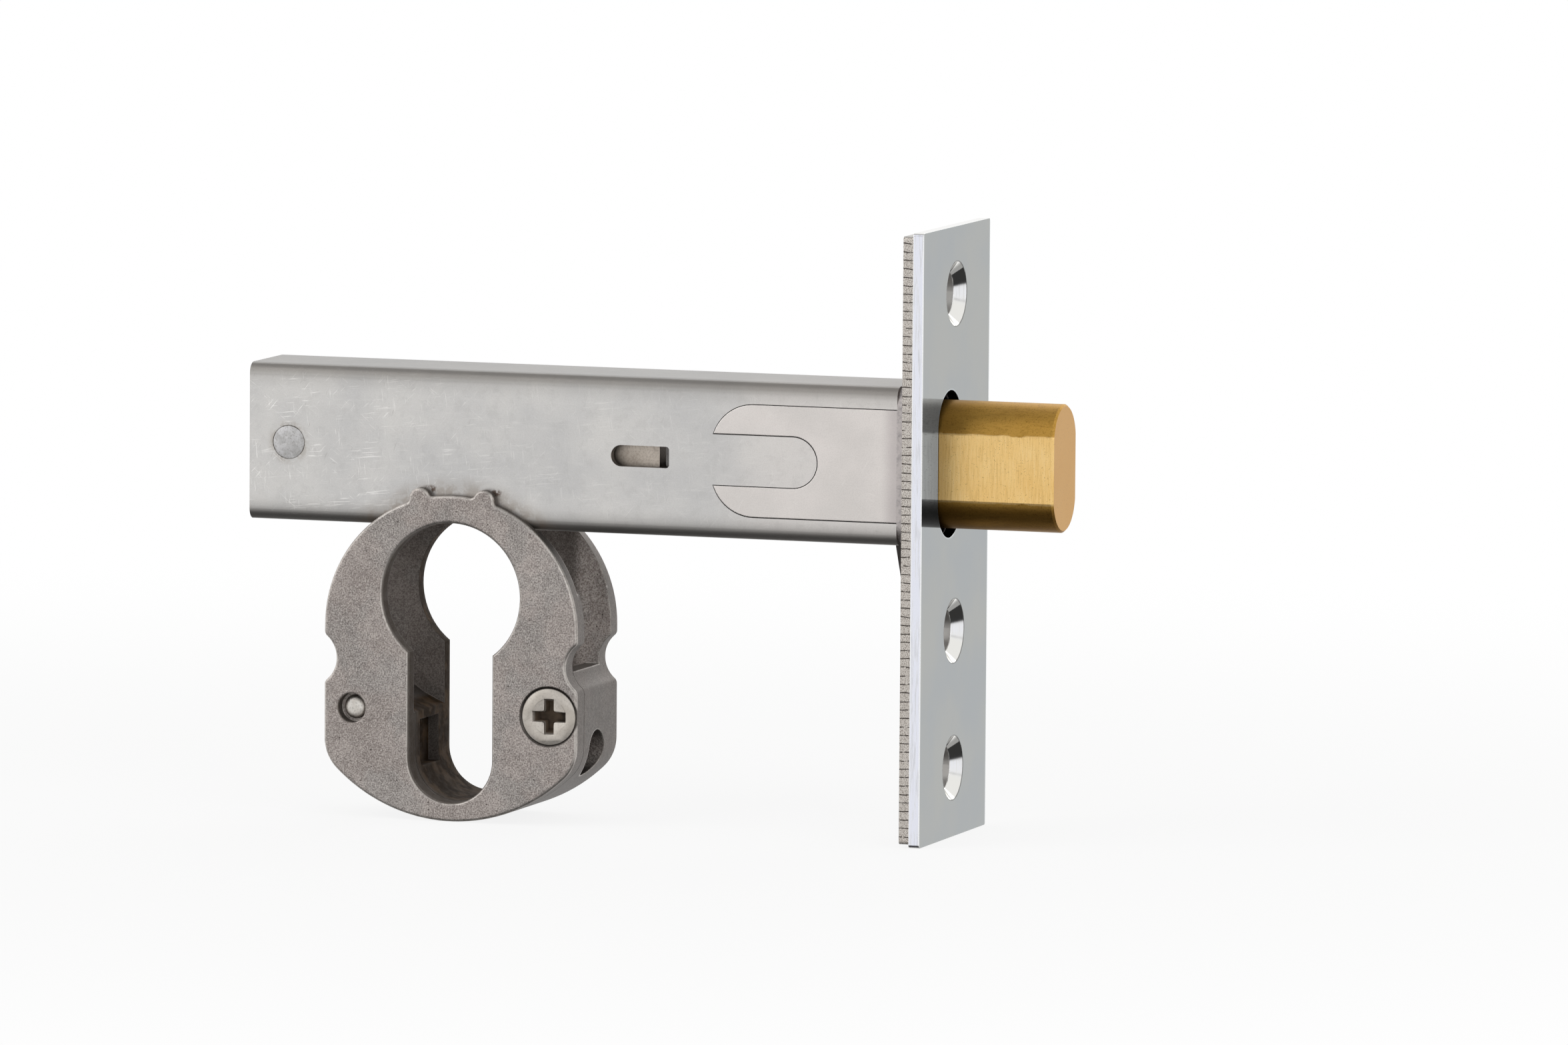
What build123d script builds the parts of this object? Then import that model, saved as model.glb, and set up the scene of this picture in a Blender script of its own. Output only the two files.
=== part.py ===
"""Mortise deadbolt for a profile cylinder, in millimetres.

The origin is the axis of the cylinder's bore, halfway through the lock. +X is the way that the
bolt is thrown, +Y is away from the side that is seen, and +Z is up. The bolt is modelled thrown.
"""
import os
from math import sqrt

from build123d import *

# Setting out
backset = 60.0              # cylinder axis to the outer face of the faceplate
bolt_axis_z = 17.5          # bolt axis above the cylinder axis
forend_offset_y = 2.0       # the forend is centred this far behind the case
fit_gap = 0.05              # all round, between pieces that are pushed together

# Faceplate and backplate
forend_width = 25.0
forend_above_axis = 28.0
forend_below_axis = 44.5
forend_corner = 0.4
faceplate_thickness = 1.3
backplate_thickness = 1.2
backplate_inset = 0.4       # the backplate is this much shorter at each end
bolt_slot_width = 9.0
bolt_slot_height = 17.5
screw_spacing = 40.0        # between the two door screws, each side of the bolt
screw_hole_radius = 2.6
countersink_radius = 3.85
cylinder_screw_z = -18.8    # the screw that holds the cylinder, in the forend and the housings

# Bolt
bolt_thickness = 8.7
bolt_height = 15.2
bolt_flat_height = 7.7      # the flat part of each side, between the ground round edges
bolt_throw = 14.2
bolt_head_length = 31.2
bolt_edge = 0.25

# Case
case_wall = 1.0
case_bend_radius = 1.3
case_seam = 0.25
collar_length = 2.1         # the guide's collar, between the case and the backplate
side_slot_length = 7.3
side_slot_lead = 1.8        # from the tail's locking notch to the front of the slot
side_slot_height = 2.55
side_slot_corner = 0.4
rivet_from_rear = 5.0
rivet_radius = 1.95
rivet_head_height = 0.3
spacer_wall = 0.5

# Fork-shaped joint between the case and the guide's cheeks
cheek_height = 13.5
cheek_edge_length = 17.85   # from the front of the case to where the rounded tines begin
tine_length = 5.1
tongue_width = 6.0
tongue_set_back = 9.95      # of the case's tongue, from the front of the case
seam_gap = 0.1

# Guide
guide_clearance = 0.15
sleeve_side_wall = 0.45
sleeve_end_wall = 0.6
mouth_depth = 2.7           # of the wider mouth, behind the faceplate
collar_corner = 2.4
spigot_wall = 0.8
spigot_end_wall = 0.4
gusset_width = 6.4
gusset_top_depth = 3.1
gusset_middle_depth = 2.4
gusset_middle_drop = 4.1
gusset_drop = 9.6
forend_rivet_drop = 3.9
forend_rivet_radius = 1.5
forend_rivet_head_radius = 2.4
forend_rivet_length = 3.4

# Bolt tail
cam_radius = 15.0           # reach of the cylinder's cam
cam_width = 10.0
cam_clearance = 0.3
tail_thickness = 3.0
tail_side_gap = 0.8         # between the tail and the front wall of the case
tail_above_axis = 1.9
tail_floor_gap = 0.3
tail_behind_axis = 4.1
tail_rear_gap = 0.3         # between the drawn tail and the spacer
tail_neck_depth = 3.8
tail_lap = 8.0              # length of tail that is let into the bolt head
drive_notch_width = 9.6
tail_rivet_radius = 1.25
tail_rivet_spacing = 4.0
lock_notch_width = 2.2
lock_notch_gap = 1.4        # between the notch and the head of the drawn bolt
lock_notch_depth = 3.4

# Locking spring
spring_thickness = 0.6
spring_side_gap = 0.4       # beside the tail
spring_wide_length = 13.0   # the wide front end, which crosses the tail
spring_lift_gap = 0.5       # under the flat of the spring, above the tail
spring_belly_half = 3.6
spring_belly_reach = 1.5    # how far the spring dips into the path of the cam
spring_ramp = 7.5
spring_bend = 1.2
spring_eye_start = 300.0

# Housings that clamp the cylinder to the case
housing_thickness = 14.6
front_plate_thickness = 2.7
rear_plate_thickness = 2.5
housing_radius = 16.0
housing_centre_z = -4.0
housing_bottom_radius = 21.0
housing_corner_radius = 5.0
housing_edge = 0.35
notch_corner = 0.8
bump_radius = 1.3
bump_offset = 4.05
bump_root_radius = 0.5
notch_centre_z = -8.0
notch_height = 5.6
notch_depth = 1.5
bore_radius = 8.7
web_slot_width = 10.6
web_slot_bottom_z = -24.8
cavity_floor_z = -8.7
clamp_edge_distance = 3.5   # from the sides of the housings to the screw and to the dowel
clamp_z = -13.9
clamp_head_radius = 3.5
clamp_shank_radius = 1.8
clamp_screw_length = 11.0
cross_width = 4.2
cross_arm = 1.2
cross_depth = 1.5
cross_taper = 12.0
clamp_point = 0.5
dowel_radius = 1.375
dowel_length = 10.0
dowel_recess = 1.0
dowel_well_radius = 1.8
side_hole_radius = 2.8
pocket_depth = 1.3          # of the hollows in the sides of the web slot
pocket_width = 6.5
pocket_top_z = -15.4
pocket_low_z = -21.0

# Sizes and places worked out from the sizes above
sleeve_thickness = bolt_thickness + 2 * (guide_clearance + sleeve_side_wall)
sleeve_height = bolt_height + 2 * (guide_clearance + sleeve_end_wall)
inner_thickness = sleeve_thickness + 2 * fit_gap
inner_height = sleeve_height + 2 * fit_gap
case_thickness = inner_thickness + 2 * case_wall
case_height = inner_height + 2 * case_wall
case_half = case_thickness / 2
case_bottom_z = bolt_axis_z - case_height / 2
faceplate_back_x = backset - faceplate_thickness
backplate_back_x = faceplate_back_x - backplate_thickness
case_front_x = backplate_back_x - collar_length
bolt_tip_x = backset + bolt_throw
bolt_rear_x = bolt_tip_x - bolt_head_length
tail_rear_x = -tail_behind_axis
spacer_radius = rivet_radius + fit_gap + spacer_wall
rivet_x = tail_rear_x - bolt_throw - tail_rear_gap - spacer_radius
case_rear_x = rivet_x - rivet_from_rear
case_length = case_front_x - case_rear_x
rivet_dome_radius = (rivet_radius**2 + rivet_head_height**2) / (2 * rivet_head_height)
forend_middle_z = bolt_axis_z + (forend_above_axis - forend_below_axis) / 2
forend_height = forend_above_axis + forend_below_axis
cheek_shoulder_x = case_front_x - cheek_edge_length
cheek_tip_x = cheek_shoulder_x - tine_length
tongue_end_x = case_front_x - tongue_set_back
guide_rear_x = cheek_tip_x - seam_gap
lock_notch_x = bolt_rear_x - bolt_throw - lock_notch_gap - lock_notch_width
side_slot_front_x = lock_notch_x + side_slot_lead
tail_front_y = -inner_thickness / 2 + tail_side_gap
tail_back_y = tail_front_y + tail_thickness
tail_top_z = bolt_axis_z + tail_above_axis
tail_bottom_z = case_bottom_z + case_wall + tail_floor_gap
tail_neck_z = bolt_axis_z - tail_neck_depth
tail_front_x = bolt_rear_x + tail_lap
cam_half = cam_width / 2 + cam_clearance
cam_cavity_radius = cam_radius + cam_clearance
front_y = -housing_thickness / 2
back_y = housing_thickness / 2
parting_y = front_y + front_plate_thickness
clamp_screw_x = housing_radius - clamp_edge_distance
rear_plate_y = back_y - rear_plate_thickness
housing_bottom_z = bolt_axis_z - forend_below_axis
forend_screw_zs = (bolt_axis_z + screw_spacing / 2, bolt_axis_z - screw_spacing / 2, cylinder_screw_z)

os.makedirs("parts", exist_ok=True)


def finish(piece, name):
    """Label a finished piece and write it to its own file."""
    piece.part.label = name
    export_step(piece.part, f"parts/{name}.step")


def facing(x, y, z):
    """A plane that faces the viewer, with its origin at a point on its face."""
    return Plane(origin=(x, y, z), x_dir=(1, 0, 0), z_dir=(0, -1, 0))


def bolt_section(grow=0.0):
    """The bolt's section, two flats joined by ground round edges, grown all round for the guide."""
    half = bolt_thickness / 2 + grow
    flat = bolt_flat_height / 2
    crown = bolt_height / 2 + grow
    with BuildSketch(Plane.XY) as section:
        with BuildLine():
            Line((half, -flat), (half, flat))
            ThreePointArc((half, flat), (0, crown), (-half, flat))
            Line((-half, flat), (-half, -flat))
            ThreePointArc((-half, -flat), (0, -crown), (half, -flat))
        make_face()
    return section.sketch


def fork_outline(gap=0.0):
    """The cheek that fills the case's fork-shaped window, smaller by the gap all round."""
    edge = cheek_height / 2 - gap
    tongue = tongue_width / 2 + gap
    tip = cheek_tip_x + gap
    front = case_front_x
    round_centre = tongue_end_x - tongue_width / 2
    with BuildSketch(Plane.XY) as outline:
        with BuildLine():
            Line((front, edge), (cheek_shoulder_x, edge))
            TangentArc((cheek_shoulder_x, edge), (tip, tongue), tangent=(-1, 0))
            Line((tip, tongue), (round_centre, tongue))
            ThreePointArc((round_centre, tongue), (round_centre + tongue, 0), (round_centre, -tongue))
            Line((round_centre, -tongue), (tip, -tongue))
            TangentArc((cheek_shoulder_x, -edge), (tip, -tongue), tangent=(-1, 0))
            Line((cheek_shoulder_x, -edge), (front, -edge))
            Line((front, -edge), (front, edge))
        make_face()
    return outline.sketch


def housing_outline():
    """The housings' outline, in X and Z: round over the bore, straight sides and a shallow round foot."""
    foot_centre_z = housing_bottom_z + housing_bottom_radius
    corner_z = foot_centre_z - sqrt(housing_bottom_radius**2 - housing_radius**2)
    notch_radius = (notch_height**2 / 4 + notch_depth**2) / (2 * notch_depth)
    bump_z = housing_centre_z + sqrt(housing_radius**2 - bump_offset**2)
    with BuildSketch(Plane.XY) as outline:
        with BuildLine():
            ThreePointArc(
                (housing_radius, housing_centre_z),
                (0, housing_centre_z + housing_radius),
                (-housing_radius, housing_centre_z),
            )
            Line((-housing_radius, housing_centre_z), (-housing_radius, corner_z))
            ThreePointArc((-housing_radius, corner_z), (0, housing_bottom_z), (housing_radius, corner_z))
            Line((housing_radius, corner_z), (housing_radius, housing_centre_z))
        make_face()
        fillet(outline.vertices().group_by(Axis.Y)[0], housing_corner_radius)
        with Locations(
            (housing_radius - notch_depth + notch_radius, notch_centre_z),
            (-housing_radius + notch_depth - notch_radius, notch_centre_z),
        ):
            Circle(notch_radius, mode=Mode.SUBTRACT)
        notch_ends = outline.vertices().filter_by(lambda end: abs(end.Y - notch_centre_z) < notch_height)
        fillet(notch_ends, notch_corner)
        with Locations((bump_offset, bump_z), (-bump_offset, bump_z)):
            Circle(bump_radius)
        bump_roots = outline.vertices().filter_by(lambda root: root.Y > housing_centre_z + housing_radius / 2)
        fillet(bump_roots, bump_root_radius)
    return outline.sketch


def cylinder_opening():
    """The opening for a profile cylinder: a round bore with a web slot below it."""
    with BuildSketch(Plane.XY) as opening:
        Circle(bore_radius)
        with Locations((0, web_slot_bottom_z / 2 + web_slot_width / 4)):
            Rectangle(web_slot_width, abs(web_slot_bottom_z) - web_slot_width / 2)
        with Locations((0, web_slot_bottom_z + web_slot_width / 2)):
            Circle(web_slot_width / 2)
    return opening.sketch


# Case: one folded sheet, with its seam along the bottom
with BuildPart() as case_shell:
    with BuildSketch(Plane.YZ.offset(case_rear_x)):
        with Locations((0, bolt_axis_z)):
            RectangleRounded(case_thickness, case_height, case_bend_radius)
            RectangleRounded(inner_thickness, inner_height, case_bend_radius - case_wall, mode=Mode.SUBTRACT)
    extrude(amount=case_length)
    # Windows for the guide's cheeks, open at the front end
    with BuildSketch(facing(0, 0, bolt_axis_z)):
        add(fork_outline())
    extrude(amount=case_thickness, both=True, mode=Mode.SUBTRACT)
    # Slots in both sides, round at the rear and nearly square at the front
    slot_round = side_slot_height / 2
    with BuildSketch(facing(side_slot_front_x, 0, bolt_axis_z)):
        Rectangle(side_slot_length - slot_round, side_slot_height, align=(Align.MAX, Align.CENTER))
        with Locations((slot_round - side_slot_length, 0)):
            Circle(slot_round)
    extrude(amount=case_thickness, both=True, mode=Mode.SUBTRACT)
    slot_corners = case_shell.edges().filter_by(Axis.Y).filter_by(
        lambda edge: abs(edge.center().X - side_slot_front_x) < fit_gap
    )
    fillet(slot_corners, side_slot_corner)
    # Rivet holes
    with Locations(facing(rivet_x, -case_half, bolt_axis_z)):
        Hole(rivet_radius, depth=case_thickness)
    # The cylinder's body clips the lower edges, and its cam comes up through the bottom
    with BuildSketch(Plane.XZ):
        Circle(bore_radius + cam_clearance)
    extrude(amount=case_thickness, both=True, mode=Mode.SUBTRACT)
    with BuildSketch(Plane.XY.offset(case_bottom_z - case_wall)):
        Rectangle(2 * sqrt(cam_cavity_radius**2 - case_bottom_z**2) + 2 * case_wall, inner_thickness)
    extrude(amount=2 * case_wall + fit_gap, mode=Mode.SUBTRACT)
    # Seam of the folded sheet
    with BuildSketch(Plane.XY.offset(case_bottom_z - case_wall)):
        with Locations(((case_front_x + case_rear_x) / 2, 0)):
            Rectangle(case_length, case_seam)
    extrude(amount=2 * case_wall + fit_gap, mode=Mode.SUBTRACT)
finish(case_shell, "case_shell")

# Guide: one casting with a sleeve inside the case, cheeks, a collar, a spigot and a gusset
with BuildPart() as bolt_guide:
    with BuildSketch(Plane.YZ.offset(guide_rear_x)):
        with Locations((0, bolt_axis_z)):
            RectangleRounded(sleeve_thickness, sleeve_height, case_bend_radius - case_wall)
    extrude(amount=case_front_x - guide_rear_x)
    for side in (-1, 1):
        with BuildSketch(facing(0, side * bolt_thickness / 2, bolt_axis_z)):
            add(fork_outline(seam_gap))
        extrude(amount=-side * (case_half - bolt_thickness / 2))
    with BuildSketch(Plane.YZ.offset(case_front_x)):
        with Locations((0, bolt_axis_z)):
            RectangleRounded(case_thickness, case_height, collar_corner)
    extrude(amount=collar_length)
    with BuildSketch(Plane.YZ.offset(backplate_back_x)):
        with Locations((0, bolt_axis_z)):
            SlotOverall(
                bolt_slot_height + 2 * spigot_end_wall, bolt_slot_width + 2 * spigot_wall, rotation=90
            )
    extrude(amount=backplate_thickness)
    # Gusset under the case, which carries the rivet through the backplate
    gusset_top_z = case_bottom_z - fit_gap
    with BuildSketch(Plane.XZ):
        with BuildLine():
            Polyline(
                (backplate_back_x, gusset_top_z + case_wall),
                (case_front_x + fit_gap, gusset_top_z + case_wall),
                (case_front_x + fit_gap, gusset_top_z),
                (backplate_back_x - gusset_top_depth, gusset_top_z),
                (backplate_back_x - gusset_middle_depth, gusset_top_z - gusset_middle_drop),
                (backplate_back_x, gusset_top_z - gusset_drop),
                close=True,
            )
        make_face()
    extrude(amount=gusset_width / 2, both=True)
    # Channel for the bolt, with a wider mouth
    with BuildSketch(Plane.YZ.offset(guide_rear_x)):
        with Locations((0, bolt_axis_z)):
            add(bolt_section(guide_clearance))
    extrude(amount=faceplate_back_x - guide_rear_x, mode=Mode.SUBTRACT)
    with BuildSketch(Plane.YZ.offset(faceplate_back_x - mouth_depth)):
        with Locations((0, bolt_axis_z)):
            SlotOverall(bolt_slot_height, bolt_slot_width, rotation=90)
    extrude(amount=mouth_depth, mode=Mode.SUBTRACT)
    forend_rivet_z = case_bottom_z - forend_rivet_drop
    forend_rivet_end_x = faceplate_back_x - forend_rivet_length
    with BuildSketch(Plane.YZ.offset(forend_rivet_end_x)):
        with Locations((0, forend_rivet_z)):
            Circle(forend_rivet_radius)
    extrude(amount=backplate_thickness + forend_rivet_length, mode=Mode.SUBTRACT)
finish(bolt_guide, "bolt_guide")

# Backplate: the steel inner plate of the forend
forend_face = Plane(origin=(faceplate_back_x, forend_offset_y, 0), x_dir=(0, 1, 0), z_dir=(1, 0, 0))
with BuildPart() as backplate:
    with BuildSketch(forend_face):
        with Locations((0, forend_middle_z)):
            RectangleRounded(forend_width, forend_height - 2 * backplate_inset, forend_corner)
        with Locations((-forend_offset_y, bolt_axis_z)):
            SlotOverall(
                bolt_slot_height + 2 * (spigot_end_wall + fit_gap),
                bolt_slot_width + 2 * (spigot_wall + fit_gap),
                rotation=90,
                mode=Mode.SUBTRACT,
            )
        with Locations([(0, z) for z in forend_screw_zs]):
            Circle(screw_hole_radius, mode=Mode.SUBTRACT)
    extrude(amount=-backplate_thickness)
    with Locations(Plane(origin=(faceplate_back_x, 0, forend_rivet_z), z_dir=(1, 0, 0))):
        CounterSinkHole(
            forend_rivet_radius,
            forend_rivet_head_radius,
            depth=backplate_thickness,
            counter_sink_angle=90,
        )
finish(backplate, "backplate")

# Rivet that holds the backplate to the guide
with BuildPart() as forend_rivet:
    with Locations(Plane(origin=(faceplate_back_x, 0, forend_rivet_z), z_dir=(1, 0, 0))):
        Cylinder(
            forend_rivet_radius, forend_rivet_length, align=(Align.CENTER, Align.CENTER, Align.MAX)
        )
        Cone(
            forend_rivet_radius,
            forend_rivet_head_radius,
            forend_rivet_head_radius - forend_rivet_radius,
            align=(Align.CENTER, Align.CENTER, Align.MAX),
        )
finish(forend_rivet, "forend_rivet")

# Faceplate: the chromed outer plate of the forend
with BuildPart() as faceplate:
    with BuildSketch(forend_face):
        with Locations((0, forend_middle_z)):
            RectangleRounded(forend_width, forend_height, forend_corner)
        with Locations((-forend_offset_y, bolt_axis_z)):
            SlotOverall(bolt_slot_height, bolt_slot_width, rotation=90, mode=Mode.SUBTRACT)
    extrude(amount=faceplate_thickness)
    outer_face = Plane(origin=(backset, forend_offset_y, 0), x_dir=(0, 1, 0), z_dir=(1, 0, 0))
    with Locations([outer_face * Pos(0, z, 0) for z in forend_screw_zs]):
        CounterSinkHole(
            screw_hole_radius,
            countersink_radius,
            depth=faceplate_thickness,
            counter_sink_angle=90,
        )
finish(faceplate, "faceplate")

# Bolt head: solid brass, with a pocket that the tail is let into
tail_rivet_xs = [bolt_rear_x + tail_lap / 2 + step * tail_rivet_spacing for step in (-0.5, 0.5)]
tail_rivet_z = (tail_neck_z + tail_top_z) / 2
with BuildPart() as bolt_head:
    with BuildSketch(Plane.YZ.offset(bolt_rear_x)):
        with Locations((0, bolt_axis_z)):
            add(bolt_section())
    extrude(amount=bolt_head_length - bolt_edge)
    with BuildSketch(Plane.YZ.offset(bolt_tip_x - bolt_edge)):
        with Locations((0, bolt_axis_z)):
            add(bolt_section())
    extrude(amount=bolt_edge, taper=45)
    with BuildSketch(facing(bolt_rear_x, tail_back_y + fit_gap, tail_rivet_z)):
        Rectangle(
            tail_lap + fit_gap,
            tail_top_z - tail_neck_z + 2 * fit_gap,
            align=(Align.MIN, Align.CENTER),
        )
    extrude(amount=bolt_thickness, mode=Mode.SUBTRACT)
    with Locations([facing(x, -bolt_thickness / 2, tail_rivet_z) for x in tail_rivet_xs]):
        Hole(tail_rivet_radius, depth=bolt_thickness)
finish(bolt_head, "bolt_head")

# Bolt tail: a stamped steel slide with a notch that the cam drives and two notches for the spring
drive_middle_x = bolt_throw / 2
drive_top_z = cam_cavity_radius + fit_gap
lock_notch_floor_z = tail_top_z - lock_notch_depth
with BuildPart() as bolt_tail:
    with BuildSketch(facing(0, tail_front_y, 0)) as blank:
        with BuildLine():
            Polyline(
                (tail_rear_x, tail_bottom_z),
                (guide_rear_x - fit_gap, tail_bottom_z),
                (guide_rear_x - fit_gap, tail_neck_z),
                (tail_front_x, tail_neck_z),
                (tail_front_x, tail_top_z),
                (tail_rear_x, tail_top_z),
                close=True,
            )
        make_face()
        fillet(blank.vertices().sort_by(Axis.X)[:2], 2 * bolt_edge)
        with Locations((drive_middle_x, (drive_top_z + tail_bottom_z) / 2 - case_wall)):
            RectangleRounded(
                drive_notch_width,
                drive_top_z - tail_bottom_z + 2 * case_wall,
                2 * bolt_edge,
                mode=Mode.SUBTRACT,
            )
        for notch_x in (lock_notch_x, lock_notch_x + bolt_throw):
            with Locations((notch_x, lock_notch_floor_z)):
                Rectangle(
                    lock_notch_width,
                    2 * lock_notch_depth,
                    align=(Align.MIN, Align.MIN),
                    mode=Mode.SUBTRACT,
                )
    extrude(amount=-tail_thickness)
    with Locations([facing(x, tail_front_y, tail_rivet_z) for x in tail_rivet_xs]):
        Hole(tail_rivet_radius, depth=tail_thickness)
finish(bolt_tail, "bolt_tail")

# Rivets that join the tail to the bolt head
for name, x in zip(("tail_rivet_rear", "tail_rivet_front"), tail_rivet_xs):
    with BuildPart() as tail_rivet:
        with Locations(facing(x, tail_front_y, tail_rivet_z)):
            Cylinder(
                tail_rivet_radius,
                bolt_thickness / 2 - tail_front_y,
                align=(Align.CENTER, Align.CENTER, Align.MAX),
            )
    finish(tail_rivet, name)

# Rear rivet through both sides of the case, with slightly domed heads
with BuildPart() as rear_rivet:
    with BuildSketch(Plane.XY.offset(bolt_axis_z)):
        with BuildLine():
            Polyline(
                (rivet_x, case_half + rivet_head_height),
                (rivet_x, 0),
                (rivet_x + rivet_radius, 0),
                (rivet_x + rivet_radius, case_half),
            )
            RadiusArc(
                (rivet_x + rivet_radius, case_half),
                (rivet_x, case_half + rivet_head_height),
                -rivet_dome_radius,
            )
        make_face()
    revolve(axis=Axis((rivet_x, 0, bolt_axis_z), (0, 1, 0)))
    mirror(about=Plane.XZ)
finish(rear_rivet, "rear_rivet")

# Spacer sleeve that keeps the case's sides apart on the rivet
with BuildPart() as rivet_spacer:
    with BuildSketch(facing(rivet_x, 0, bolt_axis_z)):
        Circle(spacer_radius)
        Circle(rivet_radius + fit_gap, mode=Mode.SUBTRACT)
    extrude(amount=inner_thickness / 2, both=True)
finish(rivet_spacer, "rivet_spacer")

# Locking spring: one strip of spring steel, rolled round the spacer and dipped into the cam's path.
# Its front end crosses the tail and is bent down into the tail's notch.
eye_radius = spacer_radius + fit_gap + spring_thickness / 2
spring_top_z = bolt_axis_z + eye_radius
spring_low_z = cam_radius - spring_belly_reach + spring_thickness / 2
spring_flat_z = tail_top_z + spring_lift_gap + spring_thickness / 2
spring_tab_x = lock_notch_x + lock_notch_width / 2
spring_tab_z = lock_notch_floor_z + spring_lift_gap
spring_back_y = inner_thickness / 2 - tail_side_gap
with BuildPart() as locking_spring:
    with BuildSketch(facing(0, tail_front_y, 0)):
        with BuildLine():
            CenterArc((rivet_x, bolt_axis_z), eye_radius, spring_eye_start, 90 - spring_eye_start)
            FilletPolyline(
                (rivet_x, spring_top_z),
                (-spring_belly_half - spring_ramp, spring_top_z),
                (-spring_belly_half, spring_low_z),
                (spring_belly_half, spring_low_z),
                (spring_belly_half + spring_ramp, spring_flat_z),
                (spring_tab_x, spring_flat_z),
                (spring_tab_x, spring_tab_z),
                radius=spring_bend,
            )
            offset(amount=spring_thickness / 2, side=Side.BOTH, kind=Kind.ARC)
        make_face()
    extrude(amount=tail_front_y - spring_back_y)
    with BuildSketch(Plane.XZ.offset(-tail_front_y)):
        with Locations((lock_notch_x - spring_wide_length, bolt_axis_z)):
            Rectangle(2 * case_length, 2 * case_height, align=(Align.MAX, Align.CENTER))
    extrude(amount=-(tail_thickness + spring_side_gap), mode=Mode.SUBTRACT)
finish(locking_spring, "locking_spring")

# Front housing: a cast plate with a round recess for the cam and a seat for the side of the case
with BuildPart() as front_housing:
    with BuildSketch(facing(0, front_y, 0)):
        add(housing_outline())
        add(cylinder_opening(), mode=Mode.SUBTRACT)
    extrude(amount=-front_plate_thickness)
    fillet(front_housing.faces().sort_by(Axis.Y)[0].edges(), housing_edge)
    with BuildSketch(facing(0, -cam_half, 0)):
        Circle(cam_cavity_radius)
    extrude(amount=-front_plate_thickness, mode=Mode.SUBTRACT)
    with BuildSketch(facing(0, -case_half - fit_gap, case_bottom_z - fit_gap)):
        Rectangle(4 * housing_radius, housing_radius, align=(Align.CENTER, Align.MIN))
    extrude(amount=-front_plate_thickness, mode=Mode.SUBTRACT)
    with Locations(facing(clamp_screw_x, front_y, clamp_z)):
        CounterSinkHole(
            clamp_shank_radius + fit_gap,
            clamp_head_radius + 2 * fit_gap,
            depth=front_plate_thickness,
            counter_sink_angle=90,
        )
    with Locations(facing(-clamp_screw_x, front_y, clamp_z)):
        CounterBoreHole(
            dowel_radius + fit_gap,
            dowel_well_radius,
            dowel_recess + dowel_radius / 2,
            depth=front_plate_thickness,
        )
finish(front_housing, "front_housing")

# Rear housing: the deeper casting, solid below and at the sides of the cam's path
with BuildPart() as rear_housing:
    with BuildSketch(facing(0, parting_y, 0)):
        add(housing_outline())
        add(cylinder_opening(), mode=Mode.SUBTRACT)
    extrude(amount=parting_y - back_y)
    fillet(rear_housing.faces().sort_by(Axis.Y)[-1].edges(), housing_edge)
    with BuildSketch(facing(0, parting_y, 0)):
        Circle(cam_cavity_radius)
    extrude(amount=parting_y - cam_half, mode=Mode.SUBTRACT)
    with BuildSketch(facing(0, parting_y, cavity_floor_z)):
        Rectangle(4 * housing_radius, 2 * housing_radius, align=(Align.CENTER, Align.MIN))
    extrude(amount=parting_y - rear_plate_y, mode=Mode.SUBTRACT)
    with BuildSketch(facing(0, parting_y, case_bottom_z - fit_gap)):
        Rectangle(4 * housing_radius, housing_radius, align=(Align.CENTER, Align.MIN))
    extrude(amount=parting_y - case_half - fit_gap, mode=Mode.SUBTRACT)
    # Shallow hollows in the sides of the web slot
    with BuildSketch(facing(0, -pocket_width / 2, (pocket_top_z + pocket_low_z) / 2)):
        Rectangle(web_slot_width + 2 * pocket_depth, pocket_top_z - pocket_low_z)
    extrude(amount=-pocket_width, mode=Mode.SUBTRACT)
    # Side hole for the screw that holds the cylinder
    with BuildSketch(Plane.YZ.offset(web_slot_width / 4)):
        with Locations((0, cylinder_screw_z)):
            Circle(side_hole_radius)
    extrude(amount=housing_radius, mode=Mode.SUBTRACT)
    with Locations(facing(clamp_screw_x, parting_y, clamp_z)):
        Hole(clamp_shank_radius + fit_gap, depth=clamp_screw_length - front_plate_thickness + clamp_point)
    with Locations(facing(-clamp_screw_x, parting_y, clamp_z)):
        Hole(dowel_radius + fit_gap, depth=dowel_recess + dowel_length - front_plate_thickness + fit_gap)
finish(rear_housing, "rear_housing")

# Clamp screw with a countersunk head and a cross recess
screw_face_y = front_y + 2 * fit_gap
screw_cone = clamp_head_radius - clamp_shank_radius
with BuildPart() as housing_screw:
    with BuildSketch(Plane.XY.offset(clamp_z)):
        with BuildLine():
            Polyline(
                (clamp_screw_x, screw_face_y),
                (clamp_screw_x + clamp_head_radius, screw_face_y),
                (clamp_screw_x + clamp_shank_radius, screw_face_y + screw_cone),
                (clamp_screw_x + clamp_shank_radius, screw_face_y + clamp_screw_length - clamp_point),
                (clamp_screw_x + clamp_shank_radius - clamp_point, screw_face_y + clamp_screw_length),
                (clamp_screw_x, screw_face_y + clamp_screw_length),
                close=True,
            )
        make_face()
    revolve(axis=Axis((clamp_screw_x, 0, clamp_z), (0, 1, 0)))
    with BuildSketch(facing(clamp_screw_x, screw_face_y, clamp_z)):
        Rectangle(cross_width, cross_arm)
        Rectangle(cross_arm, cross_width)
    extrude(amount=-cross_depth, taper=cross_taper, mode=Mode.SUBTRACT)
finish(housing_screw, "housing_screw")

# Dowel that keeps the two housings in line
with BuildPart() as housing_pin:
    with Locations(facing(-clamp_screw_x, front_y + dowel_recess, clamp_z)):
        Cylinder(dowel_radius, dowel_length, align=(Align.CENTER, Align.CENTER, Align.MAX))
    fillet(housing_pin.faces().sort_by(Axis.Y)[0].edges(), dowel_radius / 2)
finish(housing_pin, "housing_pin")
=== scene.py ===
import math

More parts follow.
